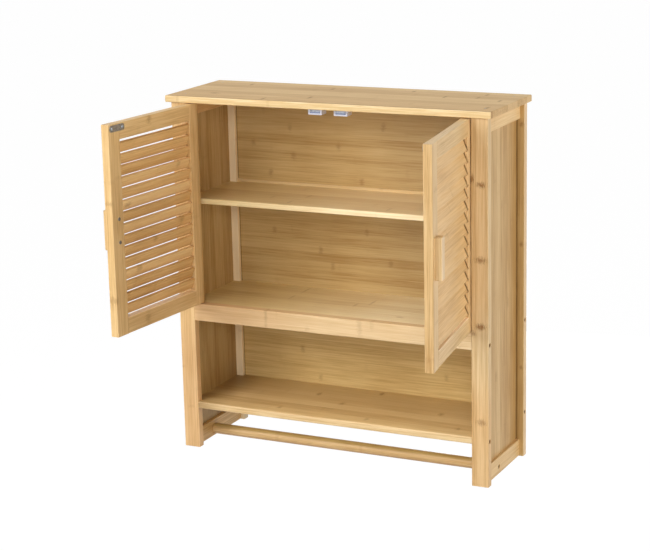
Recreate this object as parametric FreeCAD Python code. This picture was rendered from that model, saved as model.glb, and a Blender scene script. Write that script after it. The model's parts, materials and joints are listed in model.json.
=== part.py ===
import FreeCAD, Part
import math
import os

# Bathroom wall cabinet in bamboo, in millimetres. X runs along the wall, the front faces -Y, the wall is
# the plane Y = 0 and Z is up. The origin lies on the wall, midway between the two hanging holes.

# Overall sizes
top_width = 620.0
top_depth = 200.0
top_thick = 12.0
top_overhang = 8.0
cabinet_height = 660.0
hanger_drop = 60.0

# Stock of the frames
stile_width = 31.0
stock_thick = 15.0
top_rail_height = 29.0
bottom_rail_height = 31.5
foot_drop = 0.5
panel_thick = 4.0
groove_depth = 5.0
panel_play = 0.5
joint_fit = 0.05
frame_edge = 1.2
board_edge = 1.6

# Shelves and boards: a drop is measured from the top face down, and a level from the feet up
upper_shelf_drop = 189.0
upper_shelf_thick = 10.0
shelf_setback = 2.0
middle_board_level = 277.5
middle_board_thick = 12.0
apron_height = 32.0
tongue_thick = 4.0
tongue_depth = 3.0
bottom_shelf_level = 89.0
bottom_shelf_thick = 13.0
shelf_groove_depth = 3.0

# Back of the cabinet
back_panel_setback = 7.0
shelf_rail_thick = 10.0
shelf_rail_height = 30.0
shelf_rail_proud = 5.0

# Cleats under the upper shelf
cleat_size = 10.0
cleat_length = 115.0

# Towel bar
bar_radius = 10.0
bar_from_front = 74.0
bar_level = 14.0

# Doors
door_thick = 15.0
door_side_gap = 2.0
door_end_gap = 1.5
door_meeting_gap = 2.0
door_stile_width = 31.0
door_top_rail_height = 27.5
door_bottom_rail_height = 29.5
door_tenon_thick = 5.0
door_tenon_length = 12.0
door_tenon_shoulder = 6.0
door_edge = 1.0
left_open_angle = 95.0
right_open_angle = 98.0

# Louvre slats
slat_top_gap = 5.3
slat_low_gap = 1.5
slat_least_gap = 0.5
slat_width = 19.0
slat_thick = 5.5
slat_tilt = 22.0
slat_seat = 6.0
slat_dome = 0.8

# Handles
handle_height = 70.0
handle_width = 17.0
handle_proud = 12.5
handle_inset = 18.5
handle_edge = 3.0
handle_screw_spacing = 40.5

# Pivot pins
pin_radius = 2.5
pin_in_door = 14.0
pin_in_board = 7.0
pin_fit = 0.05
pin_end_play = 0.3

# Magnetic catches and strike plates
catch_offset = 24.5
catch_width = 26.0
catch_depth = 18.0
catch_height = 13.0
catch_edge = 1.2
ear_width = 6.0
ear_thick = 3.0
catch_gap = 0.3
pole_thick = 1.5
pole_width = 19.0
pole_depth = 14.0
pole_proud = 0.8
magnet_thick = 4.0
magnet_depth = 13.0
strike_length = 41.0
strike_height = 11.5
strike_thick = 1.2
strike_corner = 3.0
strike_drop = 7.8

# Keyhole hanger plates
hanger_length = 46.0
hanger_width = 18.0
hanger_thick = 1.5
hanger_entry_radius = 4.5
hanger_slot_width = 4.4
hanger_slot_rise = 9.0
hanger_pocket_depth = 7.0
hanger_pocket_room = 1.0

# Tenons of the stiles in the top board
top_tenon_height = 7.0
top_tenon_inset = 6.0
top_tenon_thick = 7.0

# Screws of the frame and the towel bar, with their heads let in flush
frame_screw_head = 3.6
frame_screw_head_thick = 1.8
frame_screw_shank = 1.7
frame_screw_length = 46.0
bar_screw_length = 36.0

# Screws of the handles
handle_screw_head = 3.6
handle_screw_rise = 1.8
handle_screw_shank = 1.9
handle_screw_grip = 8.0

# All screws
screw_fit = 0.05
shank_sides = 8

# How far a cutter runs past the face that it cuts
overrun = 1.0

# Places of the carcass, worked out from the sizes above
top_face = hanger_drop
feet = top_face - cabinet_height
top_under = top_face - top_thick
frame_half = top_width / 2 - top_overhang
front = top_overhang - top_depth
front_stile_back = front + stock_thick
rear_stile_front = -stock_thick
front_mid = front + stock_thick / 2
rear_mid = -stock_thick / 2
stile_inner = frame_half - stile_width
stile_mid = frame_half - stile_width / 2
rail_outer = stile_mid + stock_thick / 2
rail_inner = stile_mid - stock_thick / 2
panel_outer = stile_mid + panel_thick / 2
panel_inner = stile_mid - panel_thick / 2
side_rail_low = feet + foot_drop
side_rail_top = side_rail_low + bottom_rail_height
top_rail_low = top_under - top_rail_height
back_face = rear_stile_front + back_panel_setback
back_rear = back_face + panel_thick
seat = groove_depth - panel_play

upper_shelf_top = top_face - upper_shelf_drop
upper_shelf_low = upper_shelf_top - upper_shelf_thick
upper_shelf_front = front + door_thick + shelf_setback
shelf_rail_top = upper_shelf_top + shelf_rail_proud
shelf_rail_low = shelf_rail_top - shelf_rail_height
middle_top = feet + middle_board_level
middle_low = middle_top - middle_board_thick
apron_low = middle_top - apron_height
middle_rail_mid = (apron_low + middle_low) / 2
bottom_shelf_top = feet + bottom_shelf_level
bottom_shelf_low = bottom_shelf_top - bottom_shelf_thick
bottom_shelf_mid = (bottom_shelf_top + bottom_shelf_low) / 2
bar_y = front + bar_from_front
bar_z = feet + bar_level

# Places of the right door while it is shut
pivot_x = stile_inner - door_side_gap - door_thick / 2
pivot_y = front + door_thick / 2
door_free = door_meeting_gap / 2
door_back = front + door_thick
door_low = middle_top + door_end_gap
door_top = top_under - door_end_gap
door_mid = (door_low + door_top) / 2
slats_from = door_free + door_stile_width
slats_to = pivot_x + door_thick / 2 - door_stile_width
opening_low = door_low + door_bottom_rail_height
opening_top = door_top - door_top_rail_height
handle_x = door_free + handle_inset
strike_z = door_top - strike_drop
catch_face = door_back + strike_thick + catch_gap + pole_proud

tilt = math.radians(slat_tilt)
slat_rise = slat_width * math.cos(tilt) + slat_thick * math.sin(tilt)
slats_height = opening_top - opening_low - slat_top_gap - slat_low_gap
slat_count = int((slats_height + slat_least_gap) / (slat_rise + slat_least_gap))
slat_pitch = (slats_height - slat_rise) / (slat_count - 1)

origin = FreeCAD.Vector(0, 0, 0)
along_x = FreeCAD.Vector(1, 0, 0)
along_y = FreeCAD.Vector(0, 1, 0)
along_z = FreeCAD.Vector(0, 0, 1)


def vec(x, y, z):
    return FreeCAD.Vector(x, y, z)


def block(x0, x1, y0, y1, z0, z1):
    """A box between two corners."""
    return Part.makeBox(x1 - x0, y1 - y0, z1 - z0, vec(x0, y0, z0))


def rod(radius, start, direction, length):
    return Part.makeCylinder(radius, length, start, direction)


def mirrored(shape):
    """The same piece on the other side of the cabinet."""
    return shape.mirror(origin, along_x)


def both_sides(shapes):
    return shapes + [mirrored(shape) for shape in shapes]


def cut_all(shape, cutters):
    return shape.cut(Part.makeCompound(cutters)) if cutters else shape


def edges_along(shape, axis, keep):
    """Straight edges that run along one axis, chosen by the middle point of each."""
    picked = []
    for edge in shape.Edges:
        if edge.Degenerated or not isinstance(edge.Curve, Part.Line):
            continue
        ends = [vertex.Point for vertex in edge.Vertexes]
        run = ends[-1] - ends[0]
        if run.cross(axis).Length < joint_fit and keep((ends[0] + ends[-1]) * 0.5):
            picked.append(edge)
    return picked


def eased(shape, size, axes, keep=lambda middle: True):
    """The piece with the chosen straight edges broken by a narrow bevel."""
    edges = []
    for axis in axes:
        edges += edges_along(shape, axis, keep)
    return shape.makeChamfer(size, edges)


# Screws


def shank_body(radius, low, high):
    """A shank along Z. A few flats stand for its thread."""
    turns = [2 * math.pi * index / shank_sides for index in range(shank_sides)]
    points = [vec(radius * math.cos(turn), radius * math.sin(turn), low) for turn in turns]
    return Part.Face(Part.makePolygon(points + points[:1])).extrude(along_z * (high - low))


def aimed(shape, place, direction):
    """Turns a piece made along -Z so that it runs the given way from a place."""
    moved = shape.copy()
    moved.Placement = FreeCAD.Placement(place, FreeCAD.Rotation(-along_z, direction))
    return moved


def flat_screw(length, place, direction, fit=0):
    """A screw with its head flush, or what it takes out of the pieces that it holds when a fit is given."""
    depth = frame_screw_head_thick + fit
    head = rod(frame_screw_head + fit, origin, -along_z, depth)
    body = head.fuse(shank_body(frame_screw_shank + fit, -length - fit, -depth))
    return aimed(body, place, direction)


def frame_screw_places():
    """Heads of the screws through the outer side of the right stiles."""
    return [
        vec(frame_half, y, z)
        for y in (front_mid, rear_mid)
        for z in (middle_rail_mid, bottom_shelf_mid)
    ]


def frame_screws(fit=0):
    places = frame_screw_places()
    return both_sides([flat_screw(frame_screw_length, place, -along_x, fit) for place in places])


def bar_screws(fit=0):
    return both_sides([flat_screw(bar_screw_length, vec(rail_outer, bar_y, bar_z), -along_x, fit)])


def handle_screw_places():
    """Where the heads rest on the inner face of the right door."""
    return [
        vec(handle_x, door_back, door_mid + side * handle_screw_spacing / 2)
        for side in (-1, 1)
    ]


def handle_screws():
    """Screws from the inner face of the door into the handle, with heads that stand on the face."""
    head = rod(handle_screw_head, origin, along_z, handle_screw_rise)
    body = head.fuse(shank_body(handle_screw_shank, -door_thick - handle_screw_grip, 0))
    return [aimed(body, place, -along_y) for place in handle_screw_places()]


def handle_screw_holes():
    hole = shank_body(handle_screw_shank + screw_fit, -door_thick - handle_screw_grip - screw_fit, overrun)
    return [aimed(hole, place, -along_y) for place in handle_screw_places()]


# Carcass: side frames


def side_groove(y0, y1):
    """Cutter for the groove that takes the side rails and the side panel."""
    low = stile_mid - panel_thick / 2 - joint_fit
    high = stile_mid + panel_thick / 2 + joint_fit
    return block(low, high, y0, y1, side_rail_low, top_under)


def top_tenon(y, fit):
    """The tenon on top of a right stile, or its mortise in the top board when a fit is given."""
    half = top_tenon_thick / 2 + fit
    return block(
        stile_inner + top_tenon_inset - fit, frame_half - top_tenon_inset + fit, y - half, y + half,
        top_under, top_under + top_tenon_height + fit,
    )


def front_stile():
    stile = block(stile_inner, frame_half, front, front_stile_back, feet, top_under)
    stile = eased(stile, frame_edge, [along_z])
    cutters = [side_groove(front_stile_back - groove_depth, front_stile_back + overrun)]
    cutters += frame_screws(screw_fit)
    return cut_all(stile, cutters).fuse(top_tenon(front_mid, 0))


def rear_stile():
    stile = block(stile_inner, frame_half, rear_stile_front, 0, feet, top_under)
    stile = eased(stile, frame_edge, [along_z])
    cutters = [side_groove(rear_stile_front - overrun, rear_stile_front + groove_depth)]
    cutters.append(block(
        stile_inner - overrun, stile_inner + groove_depth,
        back_face - joint_fit, back_rear + joint_fit,
        bottom_shelf_top - shelf_groove_depth, top_under,
    ))
    cutters += frame_screws(screw_fit) + [hanger_outline(joint_fit), hanger_pocket()]
    return cut_all(stile, cutters).fuse(top_tenon(rear_mid, 0))


def side_rail(low, high, groove_low):
    """A rail between the right stiles, tenoned into their grooves and grooved for the panel."""
    rail = block(rail_inner, rail_outer, front_stile_back, rear_stile_front, low, high)
    rail = eased(rail, frame_edge, [along_y])
    tenon = block(panel_inner, panel_outer, front_stile_back - seat, rear_stile_front + seat, low, high)
    rail = rail.fuse(tenon).removeSplitter()
    groove = block(
        panel_inner - joint_fit, panel_outer + joint_fit,
        front_stile_back - groove_depth - overrun, rear_stile_front + groove_depth + overrun,
        groove_low, groove_low + groove_depth,
    )
    return cut_all(rail, [groove] + bar_screws(screw_fit))


def side_panel():
    return block(
        panel_inner, panel_outer,
        front_stile_back - seat, rear_stile_front + seat,
        side_rail_top - seat, top_rail_low + seat,
    )


# Carcass: boards, back and towel bar


def top_board():
    board = block(-top_width / 2, top_width / 2, -top_depth, 0, top_under, top_face)
    board = eased(board, board_edge, [along_x, along_y, along_z], lambda middle: middle.y < -top_overhang)
    groove = block(
        -stile_inner - groove_depth, stile_inner + groove_depth,
        back_face - joint_fit, back_rear + joint_fit,
        top_under - overrun, top_under + groove_depth,
    )
    sockets = [pin_bore(top_under, 1), top_tenon(front_mid, joint_fit), top_tenon(rear_mid, joint_fit)]
    return cut_all(board, [groove] + both_sides(sockets))


def upper_shelf():
    shelf = block(
        -panel_inner, panel_inner, upper_shelf_front, rear_stile_front, upper_shelf_low, upper_shelf_top,
    )
    shelf = eased(shelf, board_edge, [along_x], lambda middle: middle.y < rear_stile_front - overrun)
    back = block(
        -stile_inner, stile_inner, rear_stile_front, -shelf_rail_thick, upper_shelf_low, upper_shelf_top,
    )
    return shelf.fuse(back).removeSplitter()


def shelf_cleat():
    cleat = block(
        panel_inner - cleat_size, panel_inner,
        rear_stile_front - cleat_length, rear_stile_front,
        upper_shelf_low - cleat_size, upper_shelf_low,
    )
    return eased(cleat, frame_edge, [along_y], lambda middle: middle.x < panel_inner - joint_fit)


def panel_groove(z0, z1):
    """Cutter along X for the edges of the back panels."""
    reach = stile_inner + groove_depth + overrun
    return block(-reach, reach, back_face - joint_fit, back_rear + joint_fit, z0, z1)


def shelf_back_rail():
    """The pale rail behind the upper shelf, which parts the top and middle panels."""
    rail = block(-stile_inner, stile_inner, -shelf_rail_thick, 0, shelf_rail_low, shelf_rail_top)
    reach = stile_inner + seat
    rail = rail.fuse(block(-reach, reach, back_face, back_rear, shelf_rail_low, shelf_rail_top))
    cutters = [
        panel_groove(shelf_rail_top - groove_depth, shelf_rail_top + overrun),
        panel_groove(shelf_rail_low - overrun, shelf_rail_low + groove_depth),
    ]
    return cut_all(rail.removeSplitter(), cutters)


def middle_back_rail():
    """The rail that carries the back edge of the middle board."""
    rail = block(-stile_inner, stile_inner, rear_stile_front, 0, apron_low, middle_low)
    rail = eased(rail, frame_edge, [along_x], lambda middle: middle.z < middle_rail_mid)
    reach = stile_inner + seat
    rail = rail.fuse(block(-reach, reach, back_face, back_rear, apron_low, middle_low))
    cutters = [
        panel_groove(middle_low - groove_depth, middle_low + overrun),
        panel_groove(apron_low - overrun, apron_low + groove_depth),
    ]
    return cut_all(rail.removeSplitter(), cutters + frame_screws(screw_fit))


def back_panel(low, high):
    reach = stile_inner + seat
    return block(-reach, reach, back_face, back_rear, low, high)


def middle_board():
    """Floor of the door compartment, with a tongue along its front edge."""
    middle = (middle_top + middle_low) / 2
    board = block(-panel_inner, panel_inner, front_stile_back, rear_stile_front, middle_low, middle_top)
    back = block(-stile_inner, stile_inner, rear_stile_front, back_face - joint_fit, middle_low, middle_top)
    tongue = block(
        -stile_inner, stile_inner, front_stile_back - tongue_depth + joint_fit, front_stile_back,
        middle - tongue_thick / 2, middle + tongue_thick / 2,
    )
    return board.fuse([back, tongue]).removeSplitter()


def apron():
    """The deep front edge of the middle board, which also carries the lower pivots."""
    middle = (middle_top + middle_low) / 2
    board = block(-stile_inner, stile_inner, front, front_stile_back, apron_low, middle_top)
    board = eased(board, frame_edge, [along_x], lambda point: point.y < front_mid or point.z < middle_low)
    groove = block(
        -stile_inner - overrun, stile_inner + overrun,
        front_stile_back - tongue_depth, front_stile_back + overrun,
        middle - tongue_thick / 2 - joint_fit, middle + tongue_thick / 2 + joint_fit,
    )
    return cut_all(board, [groove] + both_sides([pin_bore(middle_top, -1)]) + frame_screws(screw_fit))


def bottom_shelf():
    """The bottom shelf reaches the side panels and is notched round all four stiles."""
    shelf = block(-stile_inner, stile_inner, front, 0, bottom_shelf_low, bottom_shelf_top)
    shelf = eased(shelf, board_edge, [along_x])
    wide = block(
        -panel_inner, panel_inner, front_stile_back, rear_stile_front, bottom_shelf_low, bottom_shelf_top,
    )
    shelf = shelf.fuse(wide).removeSplitter()
    groove = panel_groove(bottom_shelf_top - shelf_groove_depth, bottom_shelf_top + overrun)
    return cut_all(shelf, [groove] + frame_screws(screw_fit))


def towel_bar():
    bar = rod(bar_radius, vec(-rail_inner, bar_y, bar_z), along_x, 2 * rail_inner)
    return cut_all(bar, bar_screws(screw_fit))


# Hanger plates


def hanger_outline(fit):
    """The plate's outline, let into the back of the stile."""
    half = hanger_width / 2 + fit
    middle = hanger_slot_rise / 2
    reach = hanger_length / 2 + fit
    return block(stile_mid - half, stile_mid + half, -hanger_thick, 0, middle - reach, middle + reach)


def hanger_pocket():
    """Room behind the plate for the head of the wall screw."""
    half = hanger_entry_radius + hanger_pocket_room
    top = hanger_slot_rise + half
    return block(stile_mid - half, stile_mid + half, -hanger_pocket_depth, 0, -half, top)


def hanger_plate():
    """A plate with a keyhole: a round entry at the origin's height and a slot rising from it."""
    low = -hanger_thick - overrun
    span = hanger_thick + 2 * overrun
    half = hanger_slot_width / 2
    entry = rod(hanger_entry_radius, vec(stile_mid, low, 0), along_y, span)
    end = rod(half, vec(stile_mid, low, hanger_slot_rise), along_y, span)
    slot = block(stile_mid - half, stile_mid + half, low, low + span, 0, hanger_slot_rise)
    return cut_all(hanger_outline(0), [entry, end, slot])


# Pivots


def pin_bore(face, side):
    """Hole for a pin in a board; side is 1 where it goes up and -1 where it goes down."""
    start = vec(pivot_x, pivot_y, face - side * overrun)
    return rod(pin_radius + pin_fit, start, along_z * side, overrun + pin_in_board + pin_end_play)


def pivot_pin(edge, side):
    """A pin from inside the end of the hinge stile into its board."""
    start = vec(pivot_x, pivot_y, edge - side * pin_in_door)
    return rod(pin_radius, start, along_z * side, pin_in_door + door_end_gap + pin_in_board)


# Doors: the right one, shut


def door_tenon(x0, x1, low, high):
    return block(x0, x1, pivot_y - door_tenon_thick / 2, pivot_y + door_tenon_thick / 2, low, high)


def rail_tenons(reach, fit):
    """Tenons of both rails past the ends of the opening, or their mortises when a fit is given."""
    pieces = []
    for low, high in rail_tenon_heights():
        pieces.append(block(
            slats_from - reach, slats_to + reach,
            pivot_y - door_tenon_thick / 2 - fit, pivot_y + door_tenon_thick / 2 + fit,
            low - fit, high + fit,
        ))
    return pieces


def rail_tenon_heights():
    return [
        (door_low + door_tenon_shoulder, opening_low),
        (opening_top, door_top - door_tenon_shoulder),
    ]


def slat_place(shape, index):
    """Tilts a slat made about the origin and lifts it to its place in the door."""
    height = opening_low + slat_low_gap + slat_rise / 2 + index * slat_pitch
    shape.rotate(origin, along_x, -slat_tilt)
    shape.translate(vec(0, pivot_y, height))
    return shape


def slat(index):
    """One slat, high at the back and low at the front, with domed long edges."""
    x0 = slats_from - slat_seat + joint_fit
    x1 = slats_to + slat_seat - joint_fit
    half = slat_thick / 2
    reach = slat_width / 2
    shoulder = reach - slat_dome
    edges = [
        Part.Arc(vec(x0, -half, shoulder), vec(x0, 0, reach), vec(x0, half, shoulder)).toShape(),
        Part.makeLine(vec(x0, half, shoulder), vec(x0, half, -shoulder)),
        Part.Arc(vec(x0, half, -shoulder), vec(x0, 0, -reach), vec(x0, -half, -shoulder)).toShape(),
        Part.makeLine(vec(x0, -half, -shoulder), vec(x0, -half, shoulder)),
    ]
    return slat_place(Part.Face(Part.Wire(edges)).extrude(along_x * (x1 - x0)), index)


def slat_mortise(index):
    """Cutter for both ends of a slat, run through from stile to stile."""
    half = slat_thick / 2 + joint_fit
    reach = slat_width / 2 + joint_fit
    cutter = block(slats_from - slat_seat, slats_to + slat_seat, -half, half, -reach, reach)
    return slat_place(cutter, index)


def door_slats():
    return [slat(index) for index in range(slat_count)]


def slat_mortises():
    return [slat_mortise(index) for index in range(slat_count)]


def hinge_stile():
    """The pivoting stile, whose outer edge is a half round about the pins."""
    radius = door_thick / 2
    corners = [
        vec(pivot_x, front, door_low),
        vec(slats_to, front, door_low),
        vec(slats_to, door_back, door_low),
        vec(pivot_x, door_back, door_low),
    ]
    edges = [Part.makeLine(start, end) for start, end in zip(corners, corners[1:])]
    edges.append(Part.Arc(corners[3], vec(pivot_x + radius, pivot_y, door_low), corners[0]).toShape())
    stile = Part.Face(Part.Wire(edges)).extrude(vec(0, 0, door_top - door_low))
    stile = eased(stile, door_edge, [along_z], lambda middle: middle.x < pivot_x - radius)
    holes = [
        rod(pin_radius + joint_fit, vec(pivot_x, pivot_y, edge + side * overrun), -along_z * side,
            pin_in_door + overrun)
        for edge, side in ((door_top, 1), (door_low, -1))
    ]
    mortises = rail_tenons(door_tenon_length + panel_play, joint_fit)
    return cut_all(stile, holes + mortises + slat_mortises())


def free_stile():
    stile = block(door_free, slats_from, front, door_back, door_low, door_top)
    stile = eased(stile, door_edge, [along_z])
    mortises = rail_tenons(door_tenon_length + panel_play, joint_fit)
    return cut_all(stile, mortises + slat_mortises() + handle_screw_holes())


def door_rail(low, high, tenon_heights):
    """A door rail with a tenon at each end."""
    rail = block(slats_from, slats_to, front, door_back, low, high)
    rail = eased(rail, door_edge, [along_x])
    tenon = door_tenon(slats_from - door_tenon_length, slats_to + door_tenon_length, *tenon_heights)
    return rail.fuse(tenon).removeSplitter()


def pull_profile(half, rise, turned):
    """Outline of the pull across one of its directions, flat on the door and rounded outside."""
    bend = handle_edge * math.sqrt(2) / 2
    corner = half - handle_edge
    crown = rise - handle_edge
    outline = [(-half, 0), (-half, crown), (-corner, rise), (corner, rise), (half, crown), (half, 0)]
    points = [turned(*point) for point in outline]
    arcs = [
        Part.Arc(points[1], turned(-corner - bend, crown + bend), points[2]),
        Part.Arc(points[3], turned(corner + bend, crown + bend), points[4]),
    ]
    lines = [(0, 1), (2, 3), (4, 5), (5, 0)]
    edges = [arc.toShape() for arc in arcs] + [Part.makeLine(points[i], points[j]) for i, j in lines]
    return Part.Face(Part.Wire(Part.__sortEdges__(edges)))


def handle():
    """A block pull whose four outer edges are rounded over and meet in mitres."""
    half_width = handle_width / 2
    half_height = handle_height / 2
    low = door_mid - half_height
    left = handle_x - half_width
    across = pull_profile(
        half_width, handle_proud, lambda side, out: vec(handle_x + side, front - out, low),
    )
    upright = pull_profile(
        half_height, handle_proud, lambda side, out: vec(left, front - out, door_mid + side),
    )
    body = across.extrude(along_z * handle_height).common(upright.extrude(along_x * handle_width))
    return cut_all(body, handle_screw_holes())


def strike_plate():
    """A thin steel plate with clipped corners on the inner face of the door."""
    half = strike_length / 2
    plate = block(
        catch_offset - half, catch_offset + half, door_back, door_back + strike_thick,
        strike_z - strike_height / 2, strike_z + strike_height / 2,
    )
    return eased(plate, strike_corner, [along_y])


# Magnetic catches


def catch_level():
    return top_under - catch_height / 2


def catch_body():
    """The plastic housing of a catch, with an ear on each side and a mouth for its pole plates."""
    back = catch_face + catch_depth
    half = catch_width / 2
    low = top_under - catch_height
    body = block(catch_offset - half, catch_offset + half, catch_face, back, low, top_under)
    body = eased(body, catch_edge, [along_y], lambda middle: middle.z < catch_level())
    reach = half + ear_width
    low = top_under - ear_thick
    ears = block(catch_offset - reach, catch_offset + reach, catch_face, back, low, top_under)
    ears = eased(ears, catch_edge, [along_z])
    mouth_half = pole_width / 2 + joint_fit
    mouth_rise = magnet_thick / 2 + pole_thick + joint_fit
    mouth = block(
        catch_offset - mouth_half, catch_offset + mouth_half,
        catch_face - overrun, catch_face - pole_proud + pole_depth + joint_fit,
        catch_level() - mouth_rise, catch_level() + mouth_rise,
    )
    return body.fuse(ears).removeSplitter().cut(mouth)


def pole_plates():
    """Two steel plates that carry the magnet's pull to the strike plate."""
    y = catch_face - pole_proud
    return [
        block(
            catch_offset - pole_width / 2, catch_offset + pole_width / 2, y, y + pole_depth,
            catch_level() + low, catch_level() + low + pole_thick,
        )
        for low in (magnet_thick / 2, -magnet_thick / 2 - pole_thick)
    ]


def magnet():
    back = catch_face - pole_proud + pole_depth
    return block(
        catch_offset - pole_width / 2, catch_offset + pole_width / 2, back - magnet_depth, back,
        catch_level() - magnet_thick / 2, catch_level() + magnet_thick / 2,
    )


# Putting it together


def carcass():
    """Every fixed piece, by name."""
    pieces = {
        "top_board": [top_board()],
        "upper_shelf": [upper_shelf()],
        "middle_board": [middle_board()],
        "apron": [apron()],
        "bottom_shelf": [bottom_shelf()],
        "towel_bar": [towel_bar()],
        "shelf_back_rail": [shelf_back_rail()],
        "middle_back_rail": [middle_back_rail()],
        "upper_back_panel": [back_panel(shelf_rail_top - seat, top_under + seat)],
        "middle_back_panel": [back_panel(middle_low - seat, shelf_rail_low + seat)],
        "lower_back_panel": [back_panel(bottom_shelf_top - shelf_groove_depth, apron_low + seat)],
        "frame_screws": frame_screws(),
        "towel_bar_screws": bar_screws(),
        "catch_pole_plates": both_sides(pole_plates()),
        "catch_magnets": both_sides([magnet()]),
        "hanger_plates": both_sides([hanger_plate()]),
    }
    paired = {
        "front_stile": front_stile(),
        "rear_stile": rear_stile(),
        "side_top_rail": side_rail(top_rail_low, top_under, top_rail_low),
        "side_bottom_rail": side_rail(side_rail_low, side_rail_top, side_rail_top - groove_depth),
        "side_panel": side_panel(),
        "shelf_cleat": shelf_cleat(),
        "catch_body": catch_body(),
    }
    for name, shape in paired.items():
        pieces["right_" + name] = [shape]
        pieces["left_" + name] = [mirrored(shape)]
    return pieces


def shut_door():
    """Every piece of the right door, by name, with the door shut."""
    heights = rail_tenon_heights()
    return {
        "door_hinge_stile": [hinge_stile()],
        "door_free_stile": [free_stile()],
        "door_bottom_rail": [door_rail(door_low, opening_low, heights[0])],
        "door_top_rail": [door_rail(opening_top, door_top, heights[1])],
        "door_slats": door_slats(),
        "door_handle": [handle()],
        "handle_screws": handle_screws(),
        "strike_plate": [strike_plate()],
        "pivot_pins": [pivot_pin(door_top, 1), pivot_pin(door_low, -1)],
    }


def swung(shape, side, angle):
    """The piece on its side of the cabinet, turned open about its pivot."""
    moved = shape.copy() if side > 0 else mirrored(shape)
    moved.rotate(vec(side * pivot_x, pivot_y, 0), along_z, side * angle)
    return moved


def main():
    pieces = carcass()
    for name, shapes in shut_door().items():
        pieces["right_" + name] = [swung(shape, 1, right_open_angle) for shape in shapes]
        pieces["left_" + name] = [swung(shape, -1, left_open_angle) for shape in shapes]
    os.makedirs("parts", exist_ok=True)
    for name, shapes in sorted(pieces.items()):
        shape = shapes[0] if len(shapes) == 1 else Part.makeCompound(shapes)
        shape.exportStep("parts/" + name + ".step")


main()
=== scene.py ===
import json
import math

import bpy
from mathutils import Matrix, Vector


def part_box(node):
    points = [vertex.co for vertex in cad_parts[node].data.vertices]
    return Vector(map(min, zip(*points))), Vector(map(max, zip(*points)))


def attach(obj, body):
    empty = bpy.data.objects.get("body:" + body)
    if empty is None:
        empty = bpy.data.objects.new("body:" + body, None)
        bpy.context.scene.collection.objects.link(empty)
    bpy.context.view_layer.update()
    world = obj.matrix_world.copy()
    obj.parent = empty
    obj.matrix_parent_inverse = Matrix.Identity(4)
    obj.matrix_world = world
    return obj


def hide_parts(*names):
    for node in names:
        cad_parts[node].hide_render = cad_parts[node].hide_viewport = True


# A bamboo wall cabinet with two louvred doors. Everything is in metres, on the frame's own axes: X runs along
# the wall, the front faces -Y, the wall is Y = 0 and Z is up.

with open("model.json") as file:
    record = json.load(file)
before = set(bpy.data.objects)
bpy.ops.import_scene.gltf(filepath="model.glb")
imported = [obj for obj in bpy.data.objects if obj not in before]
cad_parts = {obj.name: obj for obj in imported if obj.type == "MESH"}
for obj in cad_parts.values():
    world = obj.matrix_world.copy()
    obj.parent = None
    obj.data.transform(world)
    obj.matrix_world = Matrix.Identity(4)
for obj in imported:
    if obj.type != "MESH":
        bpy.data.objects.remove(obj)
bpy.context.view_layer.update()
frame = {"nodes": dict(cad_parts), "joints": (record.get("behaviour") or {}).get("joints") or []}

# Sizes of details, in metres
MM = 0.001
BOARD_ROUND = 1.6 * MM
NOSE_ROUND = 3.2 * MM
NOSE_STEPS = 5
FRONT_REACH = 0.5 * MM
FRAME_ROUND = 1.2 * MM
DOOR_ROUND = 1.0 * MM
END_ROUND = 0.8 * MM
END_STEPS = 2
ROUND_STEPS = 3
PULL_ROUND = 1.8 * MM
PULL_INSET = 0.16 * MM
PULL_STEPS = 6
HALF_ROUND_STEPS = 14
BAR_SIDES = 72
STILE_WIDTH = 31.0 * MM
HINGE_TO_EDGE = 7.5 * MM
SLAT_COUNT = 15
SLAT_WIDTH = 19.0 * MM
SLAT_THICK = 5.5 * MM
SLAT_TILT = math.radians(22)
SLAT_ROUND = 0.4 * MM
SLAT_STEPS = 5
SLAT_SEAT_SHOWN = 2.5 * MM
MORTISE_SHOWN = 4.5 * MM
MORTISE_MARGIN = 0.95 * MM
RAIL_LOWERED = 1.0 * MM
STRIKE_ROUND = 4.6 * MM
STRIKE_STEPS = 8
RIM_ROUND = 0.3 * MM
EAR_THICK = 3.0 * MM
EAR_LENGTH = 6.0 * MM
EAR_ROUND = 2.4 * MM
CATCH_ROUND = 1.2 * MM
CATCH_STEPS = 4
MOUTH_DEPTH = 14.0 * MM
MOUTH_MARGIN = 0.4 * MM
FIT = 0.15 * MM
HAIR = 0.02 * MM
WELD = 5 * HAIR
SMOOTH_ANGLE = math.radians(40)

# Screw heads: radius, and how far the head rises over what it stands on
TOP_SCREW = (2.3 * MM, 0.6 * MM)
FRAME_SCREW = (3.4 * MM, 0.6 * MM)
HANGER_SCREW = (2.6 * MM, 0.25 * MM)
SHELF_SCREW = (2.8 * MM, 0.25 * MM)
CATCH_SCREW = (2.1 * MM, 0.5 * MM)
STRIKE_SCREW = (2.6 * MM, 0.7 * MM)
PULL_SCREW_INSET = 0.4 * MM
PULL_SCREW_RISE = 1.0 * MM
HEAD_SIDES = 40
HEAD_STEPS = 4

# A head's rounding and its recess, as shares of its rise and radius
HEAD_DOME = 0.8
RECESS_REACH = 0.6
RECESS_HALF = 0.15
RECESS_FLOOR = 0.1

# Where the screws stand, and the seats that they are sunk into
TOP_SCREW_X = 287.0 * MM
TOP_SCREW_ROWS = (-165.0 * MM, -25.0 * MM)
TOP_SEAT_DEPTH = 0.8 * MM
TOP_SEAT_SIDES = 24
FRAME_SEAT_RADIUS = 4.2 * MM
FRAME_SEAT_DEPTH = 1.6 * MM
FRAME_SEAT_SIDES = 32
BACK_SCREW_Y = -0.3 * MM
HANGER_SCREW_SPACING = 34.0 * MM
RAIL_SCREW_COUNT = 3
STRIKE_SCREW_SPACING = 29.0 * MM

X, Y, Z = Vector((1, 0, 0)), Vector((0, 1, 0)), Vector((0, 0, 1))


# Hinges: the doors are drawn shut and then swung to where they stand in the frame


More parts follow.
